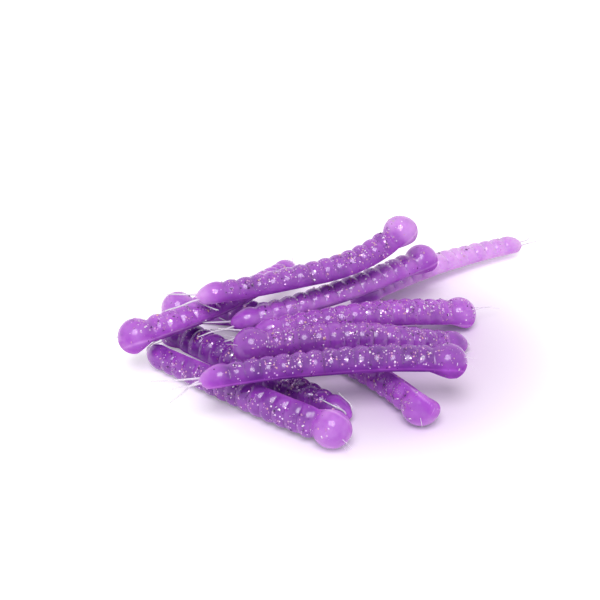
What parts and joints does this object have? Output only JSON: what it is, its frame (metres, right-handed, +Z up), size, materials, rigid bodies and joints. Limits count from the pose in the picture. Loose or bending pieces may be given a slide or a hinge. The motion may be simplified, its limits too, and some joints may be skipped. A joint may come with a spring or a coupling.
{
  "type": "soft plastic fishing worms",
  "caption": "Loose heap of ringed soft plastic trout worms with ball heads, flat bellies and thin tail feelers; free ends bend and the uncovered worms lift off.",
  "frame": {"origin": "centre of the heap's box, on the surface it lies on", "axes": "+X across the heap to the viewer's right in the picture, +Y away from the viewer, +Z up"},
  "size_m": [0.0856, 0.0762, 0.0205],
  "materials": {
    "plastisol": "translucent violet soft PVC with glitter flakes and a wet gloss"
  },
  "bodies": {
    "heap": {"worm_01_body": "plastisol", "worm_02_body": "plastisol", "worm_03_body": "plastisol", "worm_04_body": "plastisol", "worm_05_body": "plastisol", "worm_08_body": "plastisol", "worm_09_body": "plastisol"},
    "worm_06": {"worm_06_body": "plastisol"},
    "worm_07": {"worm_07_body": "plastisol"},
    "worm_10": {"worm_10_body": "plastisol"},
    "worm_11": {"worm_11_body": "plastisol"},
    "worm_01_head": {"worm_01_head": "plastisol"},
    "worm_02_tail": {"worm_02_tail": "plastisol"},
    "worm_03_head": {"worm_03_head": "plastisol"},
    "worm_04_head": {"worm_04_head": "plastisol"},
    "worm_05_tail": {"worm_05_tail": "plastisol"},
    "worm_06_head": {"worm_06_head": "plastisol"},
    "worm_07_head": {"worm_07_head": "plastisol"},
    "worm_07_tail": {"worm_07_tail": "plastisol"},
    "worm_08_head": {"worm_08_head": "plastisol"},
    "worm_08_tail": {"worm_08_tail": "plastisol"},
    "worm_09_head": {"worm_09_head": "plastisol"},
    "worm_10_head": {"worm_10_head": "plastisol"},
    "worm_10_tail": {"worm_10_tail": "plastisol"},
    "worm_11_head": {"worm_11_head": "plastisol"},
    "worm_11_tail": {"worm_11_tail": "plastisol"}
  },
  "joints": [
    {"name": "worm_06_lift", "type": "slide", "parent": "heap", "child": "worm_06", "axis": [0, 0, 1], "range_m": [0, 0.03]},
    {"name": "worm_07_lift", "type": "slide", "parent": "heap", "child": "worm_07", "axis": [0, 0, 1], "range_m": [0, 0.03]},
    {"name": "worm_10_lift", "type": "slide", "parent": "heap", "child": "worm_10", "axis": [0, 0, 1], "range_m": [0, 0.03]},
    {"name": "worm_11_lift", "type": "slide", "parent": "heap", "child": "worm_11", "axis": [0, 0, 1], "range_m": [0, 0.03]},
    {"name": "worm_01_head_bend", "type": "hinge", "parent": "heap", "child": "worm_01_head", "pos_m": [-0.01479, -0.02711, 0.00566], "axis": [-0.5995, -0.8004, 0], "range_deg": [0, 40], "stiffness_Nm_per_rad": 0.00016},
    {"name": "worm_02_tail_bend", "type": "hinge", "parent": "heap", "child": "worm_02_tail", "pos_m": [-0.00873, -0.02257, 0.0038], "axis": [-0.6494, -0.7604, 0], "range_deg": [0, 28], "stiffness_Nm_per_rad": 0.00016},
    {"name": "worm_03_head_bend", "type": "hinge", "parent": "heap", "child": "worm_03_head", "pos_m": [0.00654, -0.02173, 0.00573], "axis": [-0.8187, -0.5742, 0], "range_deg": [0, 18], "stiffness_Nm_per_rad": 0.00016},
    {"name": "worm_04_head_bend", "type": "hinge", "parent": "heap", "child": "worm_04_head", "pos_m": [-0.02057, 0.00468, 0.00429], "axis": [0.1965, 0.9805, 0], "range_deg": [0, 40], "stiffness_Nm_per_rad": 0.00016},
    {"name": "worm_05_tail_bend", "type": "hinge", "parent": "heap", "child": "worm_05_tail", "pos_m": [0.02127, 0.0251, 0.00494], "axis": [0.5495, -0.8355, 0], "range_deg": [0, 40], "stiffness_Nm_per_rad": 0.00016},
    {"name": "worm_06_head_bend", "type": "hinge", "parent": "worm_06", "child": "worm_06_head", "pos_m": [0.00667, -0.00319, 0.00876], "axis": [0.3843, -0.9232, 0], "range_deg": [0, 40], "stiffness_Nm_per_rad": 0.00016},
    {"name": "worm_07_tail_bend", "type": "hinge", "parent": "worm_07", "child": "worm_07_tail", "pos_m": [0.00787, -0.01131, 0.00813], "axis": [0.329, -0.9443, 0], "range_deg": [0, 40], "stiffness_Nm_per_rad": 0.00016},
    {"name": "worm_07_head_bend", "type": "hinge", "parent": "worm_07", "child": "worm_07_head", "pos_m": [-0.00478, -0.01518, 0.01081], "axis": [-0.2515, 0.9679, 0], "range_deg": [0, 40], "stiffness_Nm_per_rad": 0.00016},
    {"name": "worm_08_tail_bend", "type": "hinge", "parent": "heap", "child": "worm_08_tail", "pos_m": [-0.01859, 0.00394, 0.00981], "axis": [0.8143, -0.5804, 0], "range_deg": [0, 40], "stiffness_Nm_per_rad": 0.00016},
    {"name": "worm_08_head_bend", "type": "hinge", "parent": "heap", "child": "worm_08_head", "pos_m": [-0.03377, -0.01043, 0.01024], "axis": [-0.5337, 0.8457, 0], "range_deg": [0, 40], "stiffness_Nm_per_rad": 0.00016},
    {"name": "worm_09_head_bend", "type": "hinge", "parent": "heap", "child": "worm_09_head", "pos_m": [0.00706, 0.00774, 0.01092], "axis": [0.5752, -0.818, 0], "range_deg": [0, 34], "stiffness_Nm_per_rad": 0.00016},
    {"name": "worm_10_tail_bend", "type": "hinge", "parent": "worm_10", "child": "worm_10_tail", "pos_m": [-0.01083, -0.02574, 0.0112], "axis": [-0.1457, 0.9893, 0], "range_deg": [0, 40], "stiffness_Nm_per_rad": 0.00016},
    {"name": "worm_10_head_bend", "type": "hinge", "parent": "worm_10", "child": "worm_10_head", "pos_m": [0.0021, -0.02423, 0.01174], "axis": [0.0854, -0.9963, 0], "range_deg": [0, 40], "stiffness_Nm_per_rad": 0.00016},
    {"name": "worm_11_tail_bend", "type": "hinge", "parent": "worm_11", "child": "worm_11_tail", "pos_m": [-0.01327, -0.00416, 0.0155], "axis": [-0.347, 0.9379, 0], "range_deg": [0, 40], "stiffness_Nm_per_rad": 0.00016},
    {"name": "worm_11_head_bend", "type": "hinge", "parent": "worm_11", "child": "worm_11_head", "pos_m": [-0.00164, 0.00115, 0.01613], "axis": [0.4848, -0.8746, 0], "range_deg": [0, 40], "stiffness_Nm_per_rad": 0.00016}
  ]
}
